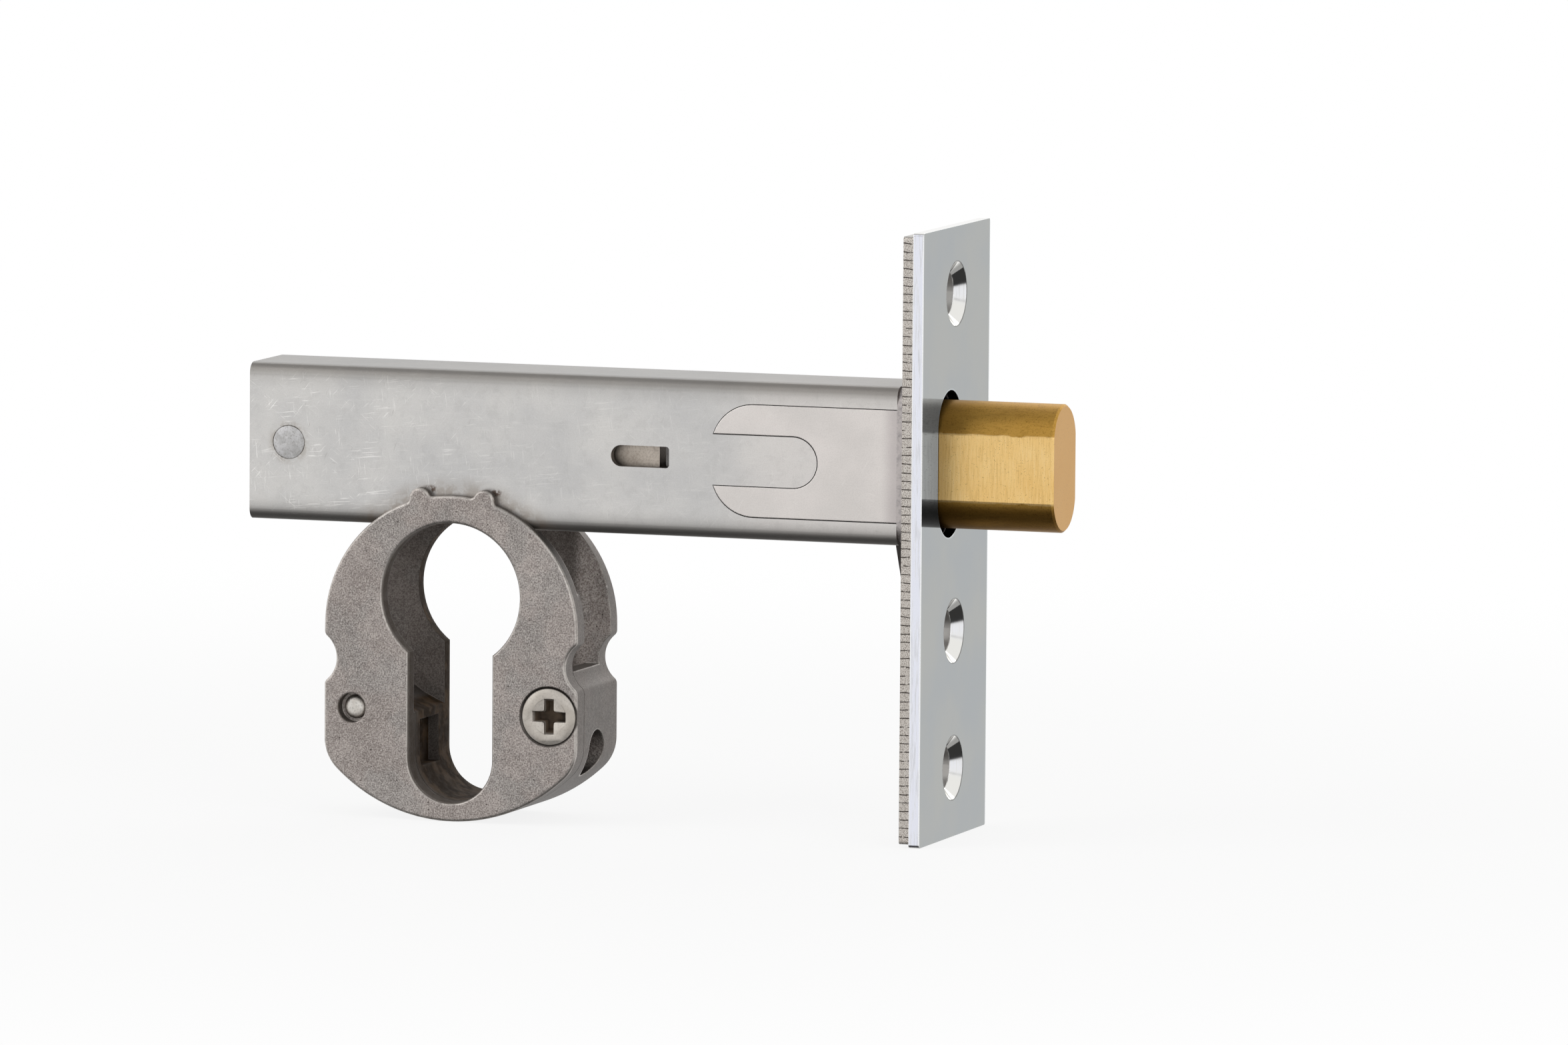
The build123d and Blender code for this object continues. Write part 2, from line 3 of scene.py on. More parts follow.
import bpy
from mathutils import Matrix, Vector


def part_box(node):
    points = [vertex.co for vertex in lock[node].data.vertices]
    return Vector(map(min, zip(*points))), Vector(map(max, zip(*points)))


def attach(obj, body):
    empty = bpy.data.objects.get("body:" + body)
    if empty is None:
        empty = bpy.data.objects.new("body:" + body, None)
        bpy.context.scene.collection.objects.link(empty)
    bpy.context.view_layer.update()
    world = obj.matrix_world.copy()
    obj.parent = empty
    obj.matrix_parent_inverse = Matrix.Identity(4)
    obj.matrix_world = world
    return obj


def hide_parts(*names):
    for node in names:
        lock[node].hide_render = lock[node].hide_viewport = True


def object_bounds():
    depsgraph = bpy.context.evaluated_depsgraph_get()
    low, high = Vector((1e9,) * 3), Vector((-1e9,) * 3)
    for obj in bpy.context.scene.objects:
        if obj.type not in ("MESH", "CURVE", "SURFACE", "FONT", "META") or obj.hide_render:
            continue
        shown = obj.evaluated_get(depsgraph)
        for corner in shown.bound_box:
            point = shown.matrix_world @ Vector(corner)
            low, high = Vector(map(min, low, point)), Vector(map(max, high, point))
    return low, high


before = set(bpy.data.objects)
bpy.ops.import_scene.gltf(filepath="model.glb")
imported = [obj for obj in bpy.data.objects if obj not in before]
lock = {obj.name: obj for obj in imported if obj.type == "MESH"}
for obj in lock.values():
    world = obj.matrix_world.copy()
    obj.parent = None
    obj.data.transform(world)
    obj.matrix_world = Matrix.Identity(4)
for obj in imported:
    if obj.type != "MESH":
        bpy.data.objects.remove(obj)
cad_low, cad_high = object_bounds()


# The case: one sheet of stainless steel, tumbled to a satin surface and then folded into a flat
# tube. The bends and the top face carry painted shade, the inside and a ring round the rivet are
# darkened with painted shade, and the sides carry the fine scratches of handling and stains round
# the rivet, the housings and their lugs.

class Field:
    """A socket of a finish, so that a pattern on the metal is written as plain sums."""

    def __init__(self, socket):
        self.socket = socket

    def node(self, kind, settings=None, inputs=None, output=0):
        """Adds a node: its settings first, then the values or links of its sockets."""
        tree = self.socket.id_data
        made = tree.nodes.new(kind)
        for name, value in (settings or {}).items():
            setattr(made, name, value)
        for name, value in (inputs or {}).items():
            if isinstance(value, Field):
                tree.links.new(value.socket, made.inputs[name])
            else:
                made.inputs[name].default_value = value
        return Field(made.outputs[output])

    def math(self, operation, *others):
        return self.node("ShaderNodeMath", {"operation": operation}, dict(enumerate((self,) + others)))

    def __add__(self, other):
        return self.math("ADD", other)

    def __radd__(self, other):
        return self.math("ADD", other)

    def __sub__(self, other):
        return self.math("SUBTRACT", other)

    def __rsub__(self, other):
        return (self * -1.0).math("ADD", other)

    def __mul__(self, other):
        return self.math("MULTIPLY", other)

    def __rmul__(self, other):
        return self.math("MULTIPLY", other)

    def over(self, start, full):
        """0 below start, 1 above full, and smooth between them. It falls where start is the larger."""
        low, high = sorted((start, full))
        ends = (0.0, 1.0) if start < full else (1.0, 0.0)
        inputs = {"Value": self, "From Min": low, "From Max": high, "To Min": ends[0], "To Max": ends[1]}
        return self.node("ShaderNodeMapRange", {"interpolation_type": "SMOOTHSTEP"}, inputs)

    def tint(self, plain, marked):
        """The plain colour where this field is 0 and the marked one where it is 1."""
        return self.node("ShaderNodeMix", {"data_type": "RGBA"}, {0: self, 6: plain, 7: marked}, output=2)


def shade(red, green, blue):
    """A colour as a paint chart gives it, from 0 to 255, made linear."""
    parts = [c / 255.0 for c in (red, green, blue)]
    linear = [c / 12.92 if c <= 0.04045 else ((c + 0.055) / 1.055) ** 2.4 for c in parts]
    return (linear[0], linear[1], linear[2], 1.0)


grease_sheen = 0.15


def start_finish(name):
    """A new finish, its shader, the place on the piece in metres, and that place's parts. Grease and
    dull skin, where a finish is less metallic, hardly shine."""
    finish = bpy.data.materials.new(name)
    finish.use_nodes = True
    shader = finish.node_tree.nodes["Principled BSDF"]
    shader.inputs["Specular IOR Level"].default_value = grease_sheen
    place = Field(finish.node_tree.nodes.new("ShaderNodeTexCoord").outputs["Object"])
    parts = [place.node("ShaderNodeSeparateXYZ", {}, {"Vector": place}, output=i) for i in range(3)]
    return finish, shader, place, parts


def grain(place, per_metre, detail=2.0, roughness=0.5, stretch=(1.0, 1.0, 1.0), turn=(0.0, 0.0, 0.0)):
    """Noise of so many lumps to the metre, finer along the turned axes where the stretch is larger."""
    axes = {"Vector": place, "Rotation": turn, "Scale": [1.0 / times for times in stretch]}
    laid = place.node("ShaderNodeMapping", {"vector_type": "TEXTURE"}, axes)
    inputs = {"Vector": laid, "Scale": per_metre, "Detail": detail, "Roughness": roughness}
    return place.node("ShaderNodeTexNoise", {}, inputs)


def scratches(place, angle, per_metre, kept):
    """Short hair scratches on a side of the lock, all near one angle to its length: the peaks of a
    drawn-out noise above the kept level, in the patches that a coarse noise leaves."""
    turn = (0.0, math.radians(angle), 0.0)
    streak = grain(place, per_metre, 1.0, 0.5, (0.07, 1.0, 1.0), turn)
    patch = grain(place, per_metre * 0.08, 2.0, 0.6, (0.7, 1.0, 1.0), turn)
    return streak.over(kept, kept + 0.07) * patch.over(0.44, 0.64)


def surface(shader, colour, roughness, height, depth, rounding=None, metallic=1.0):
    """Gives the shader its fields. Height runs from 0 to 1 over the depth in metres."""
    tree = shader.id_data
    for name, value in (("Base Color", colour), ("Roughness", roughness), ("Metallic", metallic)):
        if isinstance(value, Field):
            tree.links.new(value.socket, shader.inputs[name])
        else:
            shader.inputs[name].default_value = value
    inputs = {"Height": height, "Distance": depth, "Strength": 1.0}
    if rounding is not None:
        inputs["Normal"] = rounding
    tree.links.new(height.node("ShaderNodeBump", {}, inputs).socket, shader.inputs["Normal"])


def facing(place):
    """How far the surface faces each way: the parts of its direction."""
    direction = place.node("ShaderNodeNewGeometry", output=1)
    return [place.node("ShaderNodeSeparateXYZ", {}, {"Vector": direction}, output=i) for i in range(3)]


def dress(node, finish):
    """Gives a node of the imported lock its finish."""
    for slot in lock[node].material_slots:
        slot.material = finish


case_middle = 0.0175
case_half_height = 0.0094
case_side = 0.0060
case_wall = 0.0010
fork_tips = 0.0325
rivet_along = -0.0211
rivet_head_radius = 0.00195
housing_middle_up = -0.004
housing_outer_radius = 0.016
lug_marks = ((-0.0030, 0.0126), (0.0052, 0.0124))
case_finish, shader, place, (along, across, up) = start_finish("satin_case_steel")
blotches = grain(place, 90.0, 3.0, 0.6)
fine = grain(place, 7200.0, 2.0, 0.7)
drag = grain(place, 420.0, 3.0, 0.6, (1.0, 1.0, 5.0))
hairs = scratches(place, 8.0, 6000.0, 0.68) + scratches(place, -71.0, 6600.0, 0.69)
bright_hairs = scratches(place, -6.0, 5400.0, 0.62) + scratches(place, 38.0, 6200.0, 0.66)
bright_hairs = bright_hairs + scratches(place, 83.0, 5800.0, 0.63) + scratches(place, -48.0, 6600.0, 0.66)
handled = along.over(0.012, -0.020) * 0.7 + 0.3
from_middle = (up - case_middle).math("ABSOLUTE")
on_top = facing(place)[2].math("ABSOLUTE").over(0.86, 0.97)
bend_shade = from_middle.over(case_half_height - 0.0018, case_half_height - 0.0006) * (1.0 - on_top)
beside_bend_shade = from_middle.over(case_half_height - 0.0034, case_half_height - 0.0010) * (1.0 - on_top)
under_bend_shade = (case_middle - up).over(case_half_height - 0.0026, case_half_height - 0.0004)
top_face_shade = on_top * (up - case_middle).over(0.0, 0.0010)
beside = along - rivet_along
above = up - case_middle
from_rivet = (beside * beside + above * above).math("SQRT")
smear = grain(place, 700.0, 3.0, 0.7)
rivet_shade_ring = from_rivet.over(rivet_head_radius + 0.00014, rivet_head_radius + 0.00005)
rivet_stain = from_rivet.over(rivet_head_radius * 1.55, rivet_head_radius) * smear.over(0.38, 0.62)
above = up - housing_middle_up
from_housing = (along * along + above * above).math("SQRT") - housing_outer_radius
housing_stain = from_housing.over(0.0028, 0.0002) * (0.35 + smear.over(0.36, 0.60) * 0.65)
side_way = across.math("ABSOLUTE")
room_half_height = case_half_height - case_wall
inside_shade = from_middle.over(room_half_height - 0.0006, room_half_height - 0.0010)
inside_shade = inside_shade * side_way.over(case_side - 0.00008, case_side - 0.00016)
metal = blotches.over(0.3, 0.7).tint(shade(202, 201, 200), shade(216, 214, 211))
metal = (along.over(fork_tips - 0.0010, fork_tips + 0.0095) * 0.70).tint(metal, shade(226, 221, 217))
metal = (smear.over(0.50, 0.34) * 0.14).tint(metal, shade(172, 170, 168))
metal = (fine.over(0.54, 0.36) * 0.13).tint(metal, shade(166, 163, 159))
metal = (fine.over(0.54, 0.74) * 0.12).tint(metal, shade(236, 234, 231))
metal = (drag.over(0.55, 0.75) * 0.25).tint(metal, shade(226, 224, 221))
metal = (bright_hairs * handled * 0.55).tint(metal, shade(250, 248, 245))
metal = (hairs * handled * 0.28).tint(metal, shade(150, 145, 140))
# Painted shade: the bends are darkened in bands, and the top face is darkened.
metal = (beside_bend_shade * 0.32).tint(metal, shade(152, 148, 143))
metal = (bend_shade * 0.66).tint(metal, shade(112, 107, 101))
metal = (under_bend_shade * 0.30).tint(metal, shade(112, 112, 112))
metal = (top_face_shade * 0.60).tint(metal, shade(140, 137, 133))
metal = (housing_stain * 0.60).tint(metal, shade(136, 123, 110))
metal = (rivet_stain * 0.42).tint(metal, shade(144, 132, 118))
# Painted shade: a thin dark ring round the rivet head.
metal = (rivet_shade_ring * (0.55 + smear.over(0.4, 0.6) * 0.4)).tint(metal, shade(58, 50, 42))
for mark_along, mark_up in lug_marks:
    beside = along - mark_along
    above = up - mark_up
    from_mark = (beside * beside + above * above * 3.0).math("SQRT")
    rust = from_mark.over(0.00110, 0.00030) * grain(place, 2200.0, 2.0).over(0.44, 0.56)
    metal = (rust * 0.85).tint(metal, shade(84, 62, 46))
# Painted shade: the inner walls of the case are darkened.
metal = (inside_shade * 0.80).tint(metal, shade(54, 50, 46))
dull = 0.33 + fine * 0.10 + hairs * 0.08 + bend_shade * 0.05 + under_bend_shade * 0.16
height = fine * 0.5 + drag * 0.3 - (hairs + bright_hairs) * handled * 0.5 - rivet_shade_ring
surface(shader, metal, dull, height, 0.000006, metallic=1.0 - top_face_shade * 0.7)
dress("case_shell", case_finish)


# The guide: a zinc casting that closes the mouth of the case and leads the bolt. Its two cheeks
# lie flush in the fork-shaped windows, so they were ground with the case and are only a little
# warmer in colour. Collar and gusset keep the skin of the casting.

def soft_edges(place, radius):
    """The surface's direction with its edges rounded, and how near each point is to an edge."""
    rounded = place.node("ShaderNodeBevel", {"samples": 6}, {"Radius": radius})
    flat = place.node("ShaderNodeNewGeometry", output=1)
    same = place.node("ShaderNodeVectorMath", {"operation": "DOT_PRODUCT"}, {0: rounded, 1: flat}, output=1)
    return rounded, 1.0 - same


case_front = 0.0554
guide_end = 0.0587
mouth_half_width = 0.0045
mouth_half_height = 0.0088
guide_finish, shader, place, (along, across, up) = start_finish("satin_guide_casting")
blotches = grain(place, 110.0, 3.0, 0.6)
fine = grain(place, 7200.0, 2.0, 0.7)
skin = grain(place, 1500.0, 3.0, 0.65)
hairs = scratches(place, 17.0, 4200.0, 0.68) + scratches(place, -62.0, 4600.0, 0.68)
collar_shade = along.over(case_front - 0.0022, case_front - 0.0001)
side_way = across.math("ABSOLUTE")
from_middle = (up - case_middle).math("ABSOLUTE")
sunk_shade = side_way.over(case_side - 0.00008, case_side - 0.00020)
sunk_shade = sunk_shade * along.over(case_front - 0.0001, case_front - 0.0003)
mouth = side_way.over(mouth_half_width + 0.0002, mouth_half_width)
mouth = mouth * from_middle.over(mouth_half_height + 0.0002, mouth_half_height)
sunk_shade = sunk_shade.math("MAXIMUM", mouth * along.over(guide_end - 0.0001, guide_end - 0.0003))
metal = blotches.over(0.3, 0.7).tint(shade(222, 217, 213), shade(233, 227, 223))
metal = (fine.over(0.54, 0.36) * 0.14).tint(metal, shade(172, 166, 162))
metal = (fine.over(0.54, 0.74) * 0.12).tint(metal, shade(242, 238, 235))
metal = (hairs * 0.30).tint(metal, shade(242, 238, 234))
# Painted shade: the guide grows darker towards the collar.
metal = (collar_shade * 0.40).tint(metal, shade(156, 144, 146))
# Painted shade: the sunk walls and the mouth are nearly black.
metal = (sunk_shade * 0.95).tint(metal, shade(34, 30, 27))
cast_skin = along.over(case_front - 0.0002, case_front + 0.0001)
metal = (cast_skin * skin.over(0.4, 0.7) * 0.5).tint(metal, shade(128, 126, 128))
rounded = soft_edges(place, 0.00015)[0]
dull = 0.36 + fine * 0.10 + cast_skin * 0.08
surface(shader, metal, dull, fine * 0.5 + cast_skin * skin * 3.0, 0.000006, rounded)
dress("bolt_guide", guide_finish)


# The backplate: the plain steel plate behind the chromed one, sheared from strip. Its long edges
# show the grainy break of the shears and a short cross line at each nibble of the tool.

nibble_pitch = 0.00100
forend_middle = 0.002
forend_half_width = 0.0125
back_finish, shader, place, (along, across, up) = start_finish("sheared_plate_steel")
blotches = grain(place, 130.0, 3.0, 0.6)
fine = grain(place, 5200.0, 2.0, 0.7)
crystal = grain(place, 7800.0, 2.0, 0.7)
ways = facing(place)
from_middle = (across - forend_middle).math("ABSOLUTE")
outer = from_middle.over(forend_half_width - 0.0003, forend_half_width - 0.0002)
sheared = ways[1].math("ABSOLUTE").over(0.6, 0.8) * outer
jitter = grain(place, 500.0, 1.0)
steps = (up * (1.0 / nibble_pitch) + jitter * 0.35).math("FRACT")
line = (steps - 0.5).math("ABSOLUTE").over(0.070, 0.035)
gaps = grain(place, 700.0, 2.0, 0.6, (2.0, 1.0, 1.0)).over(0.34, 0.46)
nick = line * gaps * sheared
metal = blotches.over(0.3, 0.7).tint(shade(168, 166, 163), shade(188, 185, 181))
metal = (sheared * 0.95).tint(metal, shade(230, 224, 217))
metal = (sheared * crystal.over(0.52, 0.70) * 0.6).tint(metal, shade(246, 242, 236))
metal = (sheared * crystal.over(0.51, 0.38) * 0.80).tint(metal, shade(132, 120, 110))
metal = (nick * 0.9).tint(metal, shade(58, 48, 42))
dull = 0.42 + sheared * 0.15 + fine * 0.08
rounded = soft_edges(place, 0.00008)[0]
surface(shader, metal, dull, fine * 0.3 + sheared * crystal * 2.0 - nick * 4.0, 0.000010, rounded)
dress("backplate", back_finish)


# The faceplate: steel, ground along its long edges, then polished and chromed. The front is a
# mirror, the countersinks are bright, and the edges keep the lines of the grinding.

def pits(place, per_metre, size, share):
    """Small round marks, one in some of the cells of a net, each about the given part of a cell."""
    net = {"Vector": place, "Scale": per_metre}
    distance = place.node("ShaderNodeTexVoronoi", {}, net)
    colour = place.node("ShaderNodeTexVoronoi", {}, net, output=1)
    chance = place.node("ShaderNodeSeparateColor", {}, {"Color": colour})
    return distance.over(size, size * 0.4) * chance.over(share, share * 0.9)


plate_front = 0.060
plate_half = 0.00065
screw_heights = (0.0375, -0.0025, -0.0188)
sink_radius = 0.00385
slot_straight_half = 0.00425
slot_round = 0.0045
chrome_finish, shader, place, (along, across, up) = start_finish("bright_chrome")
ways = facing(place)
front = ways[0].over(0.90, 0.97)
ground = ways[1].math("ABSOLUTE").over(0.6, 0.8)
lines = grain(place, 900.0, 3.0, 0.6, (6.0, 1.0, 0.35))
haze = grain(place, 70.0, 3.0, 0.55)
dust = pits(place, 500.0, 0.05, 0.05)
plain = haze.over(0.35, 0.65).tint(shade(150, 155, 157), shade(157, 159, 156))
chrome = front.tint(shade(232, 231, 227), plain)
chrome = (ground * lines.over(0.30, 0.55)).tint(chrome, shade(231, 233, 243))
chrome = (ground * lines.over(0.50, 0.32) * 0.5).tint(chrome, shade(196, 201, 220))
from_plate_middle = (along - plate_front + plate_half).math("ABSOLUTE")
edge_highlight = from_plate_middle.over(plate_half - 0.00014, plate_half - 0.00005)
# Painted highlight: a white line along both corners of the ground edges.
chrome = (ground * edge_highlight * 0.9).tint(chrome, shade(252, 252, 252))
chrome = (front * dust * 0.4).tint(chrome, shade(110, 112, 112))
sideways = across - forend_middle
from_middle = sideways.math("ABSOLUTE")
corner_highlight = front * from_middle.over(forend_half_width - 0.00025, forend_half_width - 0.00012)
# Painted highlight: a light line along the front's side corners.
chrome = (corner_highlight * 0.8).tint(chrome, shade(236, 238, 240))
past_flat = ((up - case_middle).math("ABSOLUTE") - slot_straight_half).math("MAXIMUM", 0.0)
from_slot = (past_flat * past_flat + across * across).math("SQRT") - slot_round
slot_rim_highlight = front * from_slot.over(0.00020, 0.00010)
# Painted highlight: a light rim round the slot.
chrome = (slot_rim_highlight * 0.35).tint(chrome, shade(206, 214, 220))
for hole_up in screw_heights:
    above = up - hole_up
    from_hole = (sideways * sideways + above * above).math("SQRT")
    rim_shade = (from_hole - sink_radius).math("ABSOLUTE").over(0.00009, 0.00004)
    # Painted shade: a dark ring at the rim of each countersink.
    chrome = (rim_shade * 0.75).tint(chrome, shade(70, 70, 68))
slot_wall_shade = from_slot.over(0.00010, 0.00002) * along.over(plate_front - 0.00005, plate_front - 0.00020)
# Painted shade: the walls of the slot are nearly black.
chrome = (slot_wall_shade * 0.92).tint(chrome, shade(40, 38, 36))
dull = 0.05 + front * haze * 0.03 + ground * 0.22
rounded = soft_edges(place, 0.00012)[0]
surface(shader, chrome, dull, ground * lines, 0.000004, rounded)
dress("faceplate", chrome_finish)


# The bolt: drawn brass bar of an oval section. The two flats are ground across, which leaves fine
# upright lines and a slightly wavy edge where they meet the drawn arcs. In the faceplate's chrome
# it shows grey and not golden, so mirror rays see it without its colour.

flat_half_height = 0.00385
brass_finish, shader, place, (along, across, up) = start_finish("brushed_brass")
ways = facing(place)
ripple = grain(place, 420.0, 3.0, 0.6, (1.0, 0.2, 0.2))
from_middle = (up - case_middle).math("ABSOLUTE")
wavy = from_middle + (ripple - 0.5) * 0.0008
on_flat = wavy.over(flat_half_height + 0.00022, flat_half_height + 0.00014)
end = ways[0].over(0.7, 0.9)
flat = on_flat * (1.0 - end)
arc = (1.0 - flat) * (1.0 - end)
upright = grain(place, 1100.0, 3.0, 0.65, (6.0, 1.0, 0.35))
drawn = grain(place, 1500.0, 3.0, 0.70, (0.5, 2.0, 2.0))
fine = grain(place, 5200.0, 2.0, 0.7)
blotches = grain(place, 140.0, 3.0, 0.6)
plate_shade = along.over(plate_front + 0.0022, plate_front + 0.0001)
arc_shade = along.over(plate_front + 0.0050, plate_front + 0.0002)
underside_shade = (case_middle - up).over(flat_half_height + 0.0002, flat_half_height + 0.0012)
wavier = from_middle + (ripple - 0.5) * 0.0012
burr = wavier.over(flat_half_height + 0.00035, flat_half_height + 0.00020)
burr = burr * (1.0 - on_flat) * (1.0 - end) * ripple.over(0.40, 0.60)
metal = blotches.over(0.3, 0.7).tint(shade(239, 197, 124), shade(245, 208, 140))
# Painted shade: the end face is darker than the flats.
metal = (end * 0.84).tint(metal, shade(190, 140, 62))
metal = (flat * upright.over(0.48, 0.70) * 0.35).tint(metal, shade(244, 216, 164))
metal = (flat * upright.over(0.52, 0.34) * 0.28).tint(metal, shade(190, 150, 88))
metal = (flat * plate_shade * 0.35).tint(metal, shade(168, 122, 56))
metal = (arc * 0.88).tint(metal, shade(186, 142, 60))
# Painted shade: the arc is darker underneath.
metal = (arc * underside_shade * 0.45).tint(metal, shade(120, 74, 14))
metal = (arc * arc_shade * 0.40).tint(metal, shade(112, 70, 14))
metal = (arc * drawn.over(0.52, 0.36) * 0.20).tint(metal, shade(124, 88, 30))
metal = (arc * fine.over(0.52, 0.36) * 0.25).tint(metal, shade(116, 82, 28))
metal = (fine.over(0.38, 0.30) * 0.5).tint(metal, shade(120, 84, 36))
metal = (fine.over(0.5, 0.8) * 0.15).tint(metal, shade(160, 118, 60))
metal = (burr * 0.6).tint(metal, shade(240, 206, 146))
mirrored = Field(shader.id_data.nodes.new("ShaderNodeLightPath").outputs["Is Glossy Ray"])
metal = metal.node("ShaderNodeHueSaturation", {}, {"Saturation": 1.0 - mirrored * 0.92, "Color": metal})
dull = 0.32 + arc * 0.10 + fine * 0.08
height = flat * upright + arc * drawn * 0.9 + fine * 0.3
surface(shader, metal, dull, height, 0.000007)
dress("bolt_head", brass_finish)


# Inside the case: the bolt's steel tail with its two rivets, the leaf spring that locks it, and
# the spacer on the rear rivet. All are plain oiled steel that shows through the side slot.

tail_finish, shader, place = start_finish("oiled_steel")[:3]
blotches = grain(place, 160.0, 3.0, 0.6)
fine = grain(place, 4200.0, 2.0, 0.7)
specks = pits(place, 1200.0, 0.25, 0.15)
metal = blotches.over(0.3, 0.7).tint(shade(172, 162, 151), shade(202, 192, 181))
metal = (fine.over(0.4, 0.7) * 0.4).tint(metal, shade(134, 123, 113))
metal = (specks * 0.8).tint(metal, shade(74, 62, 54))
surface(shader, metal, 0.38 + fine * 0.12, fine - specks, 0.000006)
for part in ("bolt_tail", "tail_rivet_front", "tail_rivet_rear", "rivet_spacer"):
    dress(part, tail_finish)

spring_finish, shader, place = start_finish("blued_spring_steel")[:3]
rolling = grain(place, 260.0, 2.0, 0.5, (0.4, 1.0, 1.0))
fine = grain(place, 4200.0, 2.0, 0.7)
metal = rolling.over(0.3, 0.7).tint(shade(98, 96, 95), shade(116, 113, 110))
metal = (fine.over(0.45, 0.7) * 0.3).tint(metal, shade(62, 58, 56))
surface(shader, metal, 0.30 + fine * 0.1, fine * 0.5 + rolling * 0.3, 0.000004)
dress("locking_spring", spring_finish)


# The cylinder housing: two gritty zinc castings that clamp on the case. They are tumbled, so the
# rims are rubbed bright and carry a painted highlight, the faces keep a sandy skin, and grease has
# browned the opening and painted shade darkens it.

slot_half_width = 0.0053
slot_top = -0.0064
slot_bottom = -0.0262
bore_radius = 0.0087
front_side = -0.0073
parting = -0.0046
rear_side = 0.0073
seat_along = 0.01247
seat_up = -0.01387
seat_radius = 0.00358
cam_room_radius = 0.0153
cam_half_width = 0.0050
bore_shadow_reach = 0.0108
housing_finish, shader, place, (along, across, up) = start_finish("tumbled_zinc_casting")
ways = facing(place)
rounded, edge = soft_edges(place, 0.00030)
sand = grain(place, 5600.0, 2.0, 0.75)
lumps = grain(place, 1100.0, 3.0, 0.6)
blotches = grain(place, 130.0, 3.0, 0.6)
tints = grain(place, 210.0, 2.0, 0.5)
from_bore = (along * along + up * up).math("SQRT")
holes = pits(place, 1500.0, 0.22, 0.10)
flecks = pits(place, 2600.0, 0.30, 0.16)
face = ways[1].math("ABSOLUTE").over(0.6, 0.9)
metal = blotches.over(0.3, 0.7).tint(shade(168, 159, 154), shade(192, 183, 178))
metal = (tints.over(0.45, 0.62) * 0.35).tint(metal, shade(154, 155, 153))
metal = (sand.over(0.51, 0.63) * 0.62).tint(metal, shade(222, 215, 209))
metal = (sand.over(0.50, 0.37) * 0.60).tint(metal, shade(98, 90, 86))
metal = (lumps.over(0.52, 0.36) * 0.22).tint(metal, shade(112, 104, 100))
metal = (flecks * 0.35).tint(metal, shade(232, 227, 222))
metal = (holes * 0.6).tint(metal, shade(72, 64, 60))
behind_rim = across.over(front_side + 0.0002, front_side + 0.0006)
# Painted shade: the side and inner walls are darker than the faces.
metal = ((1.0 - face) * behind_rim * 0.72).tint(metal, shade(92, 88, 84))
front_rim = ways[1].math("ABSOLUTE").over(0.996, 0.92) * (1.0 - behind_rim)
between_plates = across.math("ABSOLUTE").over(cam_half_width + 0.0002, cam_half_width)
cam_wall = (from_bore - cam_room_radius).math("ABSOLUTE").over(0.00030, 0.00020) * between_plates
rubbed_and_highlit = edge.over(0.01, 0.10) * behind_rim * (1.0 - cam_wall)
rubbed_and_highlit = rubbed_and_highlit.math("MAXIMUM", front_rim) * (0.45 + lumps.over(0.34, 0.56) * 0.55)
# Bright rims: partly wear on the edges, partly a painted highlight on the rounded front rims.
metal = (rubbed_and_highlit * 0.62).tint(metal, shade(214, 209, 203))
in_bore = from_bore.over(bore_radius + 0.00025, bore_radius - 0.00005)
beside = along.math("ABSOLUTE").over(slot_half_width + 0.0030, slot_half_width + 0.0016)
in_slot = beside * up.over(slot_top + 0.0004, slot_top - 0.0004)
in_slot = in_slot * up.over(slot_bottom, slot_bottom + 0.0012)
in_opening = in_bore.math("MAXIMUM", in_slot) * (1.0 - face)
deep = across.over(-cam_half_width, -cam_half_width + 0.0020)
deep = deep * across.over(rear_side + 0.0001, rear_side - 0.0013)
behind_plate = face * across.over(parting, parting + 0.0006)
behind_plate = behind_plate * across.over(cam_half_width + 0.0010, cam_half_width)
near_bore = along.over(bore_shadow_reach + 0.0014, bore_shadow_reach)
behind_plate = behind_plate * (0.15 + near_bore * 0.85)
grime_and_shade = in_opening * (0.66 + deep * 0.22 + lumps.over(0.35, 0.6) * 0.12)
stains = grain(place, 420.0, 3.0, 0.65).over(0.44, 0.62)
brown = stains.tint(shade(52, 39, 26), shade(80, 61, 40))
# Brown grease and painted shade darken the opening, more deeply inside.
metal = grime_and_shade.tint(metal, deep.tint(shade(62, 49, 36), brown))
# Painted shade: the rear plate's inner face behind the bore is darkened.
metal = (behind_plate * 0.80).tint(metal, shade(66, 58, 51))
greasy = grime_and_shade.math("MAXIMUM", behind_plate * 0.8)
beside = along - seat_along
above = up - seat_up
from_screw = (beside * beside + above * above).math("SQRT")
seat_shade = from_screw.over(seat_radius + 0.00016, seat_radius) * (1.0 - behind_rim)
# Painted shade: a dark ring round the screw head's seat.
metal = (seat_shade * 0.85).tint(metal, shade(44, 37, 32))
joint_line = (across - parting).math("ABSOLUTE").over(0.00016, 0.00005) * (1.0 - face)
metal = (joint_line * 0.8).tint(metal, shade(52, 42, 34))
dull = 0.46 + sand * 0.16 - rubbed_and_highlit * 0.10 + greasy * (0.32 - stains * 0.12)
height = sand * 0.6 + lumps * 0.7 - holes * 1.0 - joint_line
surface(shader, metal, dull, height, 0.000030, rounded, 1.0 - greasy * 0.95)
for part in ("front_housing", "rear_housing"):
    dress(part, housing_finish)


# Fixings of plain nickel-plated steel: the dowel and the rivet that holds the backplate. The rear
# rivet is closed over the case, so its ends were hammered almost flat, and are paler.

